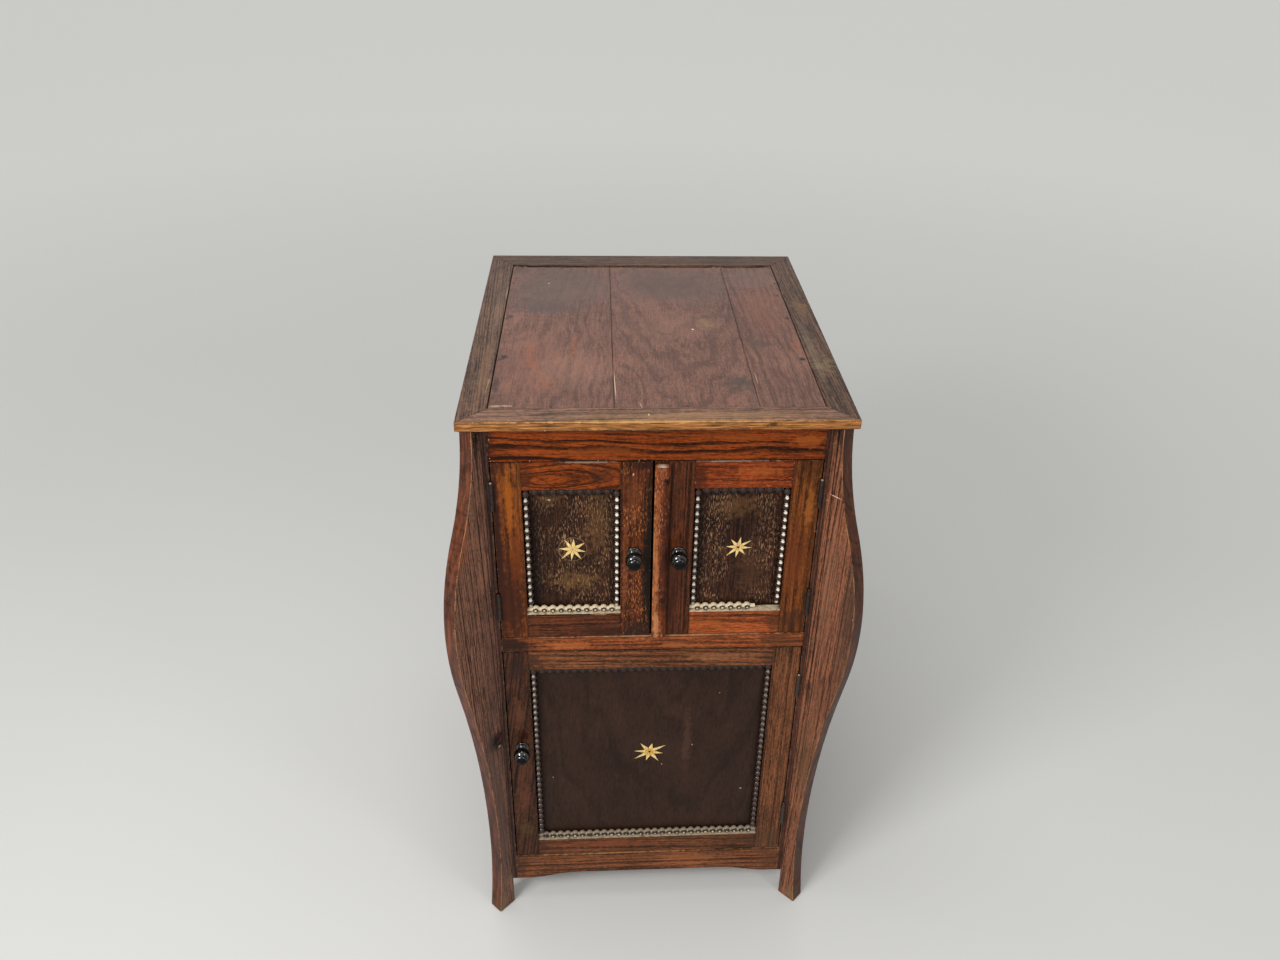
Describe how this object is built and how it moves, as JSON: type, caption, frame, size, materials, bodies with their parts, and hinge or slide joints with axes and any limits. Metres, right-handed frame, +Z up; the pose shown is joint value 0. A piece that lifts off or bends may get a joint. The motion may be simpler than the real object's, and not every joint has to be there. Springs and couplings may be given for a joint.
{
  "type": "gramophone cabinet",
  "caption": "Standing oak cabinet on shaped diagonal plank legs, with two small doors over one large door, beaded panels with star inlays, round knobs and a framed board top.",
  "frame": {"origin": "on the floor, at the middle of the footprint", "axes": "+Z up; the doors face -Y; +X is to the right of someone who faces the doors"},
  "size_m": [0.524, 0.591, 0.846],
  "materials": {
    "top_frame_oak": "worn dark grey-brown oak",
    "top_board_mahogany": "faded and scratched reddish mahogany",
    "tack_steel": "dull and tarnished",
    "leg_oak": "dark stained oak with worn arrises",
    "front_oak": "red-brown stained oak, satin varnish",
    "case_oak": "dark stained oak",
    "panel_oak": "very dark stained oak",
    "inner_pine": "unvarnished softwood",
    "bead_oak": "dark turned beads with dusty hollows",
    "inlay_wood": "pale satinwood",
    "knob_black": "glossy black turned wood",
    "hinge_iron": "blackened and lightly worn"
  },
  "bodies": {
    "cabinet": {"top_front_rail": "top_frame_oak", "top_back_rail": "top_frame_oak", "top_left_rail": "top_frame_oak", "top_right_rail": "top_frame_oak", "top_left_board": "top_board_mahogany", "top_middle_board": "top_board_mahogany", "top_right_board": "top_board_mahogany", "top_tacks": "tack_steel", "front_left_post": "leg_oak", "front_right_post": "leg_oak", "back_left_post": "leg_oak", "back_right_post": "leg_oak", "front_left_leg": "leg_oak", "front_right_leg": "leg_oak", "back_left_leg": "leg_oak", "back_right_leg": "leg_oak", "leg_screws": "tack_steel", "frieze_rail": "front_oak", "middle_rail": "front_oak", "bottom_rail": "front_oak", "left_side_panel": "case_oak", "right_side_panel": "case_oak", "back_panel": "inner_pine", "middle_shelf": "inner_pine", "bottom_board": "inner_pine", "cleats": "inner_pine", "door_stops": "inner_pine", "left_upper_frame_leaves": "hinge_iron", "right_upper_frame_leaves": "hinge_iron", "lower_frame_leaves": "hinge_iron"},
    "left_upper_door": {"left_upper_hinge_stile": "front_oak", "left_upper_lock_stile": "front_oak", "left_upper_top_rail": "front_oak", "left_upper_bottom_rail": "front_oak", "left_upper_panel": "panel_oak", "left_upper_beads": "bead_oak", "left_upper_star": "inlay_wood", "left_upper_knob": "knob_black", "left_upper_door_leaves": "hinge_iron"},
    "right_upper_door": {"right_upper_hinge_stile": "front_oak", "right_upper_lock_stile": "front_oak", "right_upper_top_rail": "front_oak", "right_upper_bottom_rail": "front_oak", "right_upper_panel": "panel_oak", "right_upper_beads": "bead_oak", "right_upper_star": "inlay_wood", "right_upper_knob": "knob_black", "meeting_strip": "front_oak", "strip_nails": "tack_steel", "right_upper_door_leaves": "hinge_iron"},
    "lower_door": {"lower_hinge_stile": "front_oak", "lower_lock_stile": "front_oak", "lower_top_rail": "front_oak", "lower_bottom_rail": "front_oak", "lower_panel": "panel_oak", "lower_beads": "bead_oak", "lower_star": "inlay_wood", "lower_knob": "knob_black", "lower_door_leaves": "hinge_iron"}
  },
  "joints": [
    {"name": "left_upper_door_hinge", "type": "hinge", "parent": "cabinet", "child": "left_upper_door", "pos_m": [-0.19545, -0.2534, 0.6544], "axis": [0, 0, -1], "range_deg": [0, 140]},
    {"name": "right_upper_door_hinge", "type": "hinge", "parent": "cabinet", "child": "right_upper_door", "pos_m": [0.19545, -0.2534, 0.6544], "axis": [0, 0, 1], "range_deg": [0, 140]},
    {"name": "lower_door_hinge", "type": "hinge", "parent": "cabinet", "child": "lower_door", "pos_m": [0.19545, -0.2534, 0.3005], "axis": [0, 0, 1], "range_deg": [0, 140]}
  ]
}
